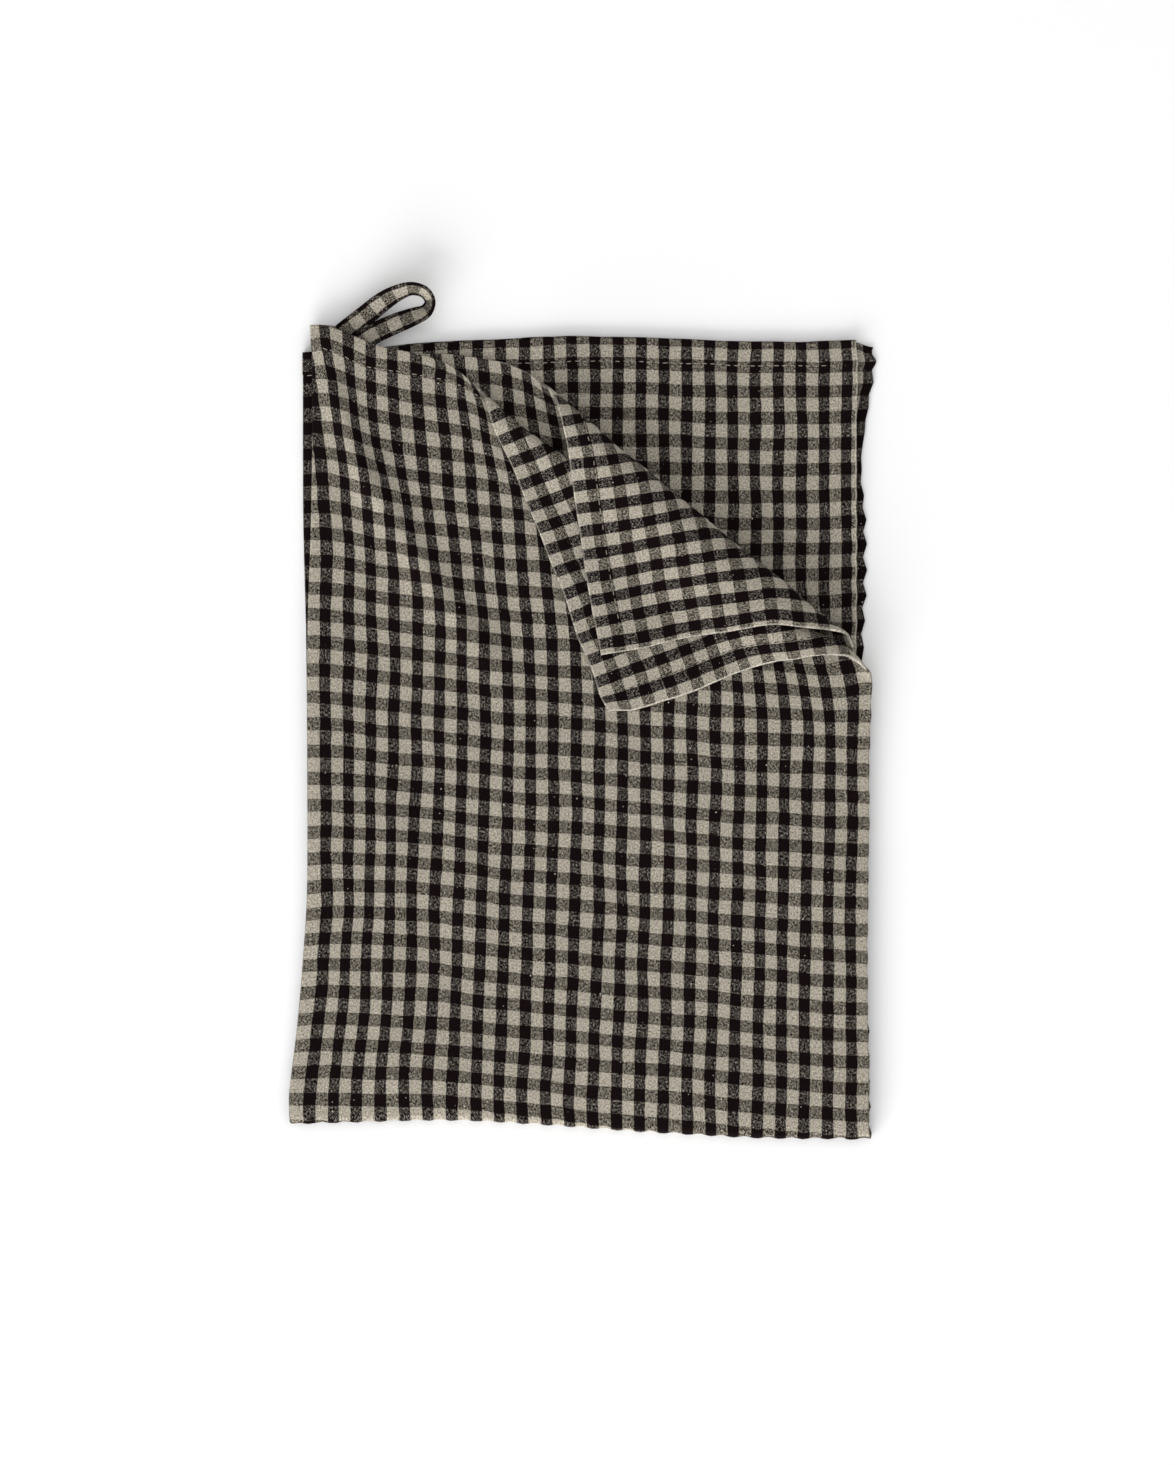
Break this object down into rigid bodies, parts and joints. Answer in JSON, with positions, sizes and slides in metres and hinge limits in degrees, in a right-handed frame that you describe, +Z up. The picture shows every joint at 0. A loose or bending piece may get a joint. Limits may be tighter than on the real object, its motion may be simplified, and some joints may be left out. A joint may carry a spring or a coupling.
{
  "type": "tea towel",
  "caption": "Gingham linen tea towel folded in quarters, with its front corners turned down together and a hanging loop at the top left.",
  "frame": {"origin": "middle of the bounding box, at its bottom, on the surface the towel rests on", "axes": "+Z up through the layers, +Y towards the free top hems, +X towards the free side hems, away from the lengthwise fold"},
  "size_m": [0.2592, 0.3812, 0.0172],
  "materials": {
    "gingham_linen": "matt plain weave, charcoal and natural gingham",
    "loop_linen": "matt plain weave, folded strap"
  },
  "bodies": {
    "root": {"towel": "gingham_linen", "hanging_loop": "loop_linen"}
  },
  "joints": []
}
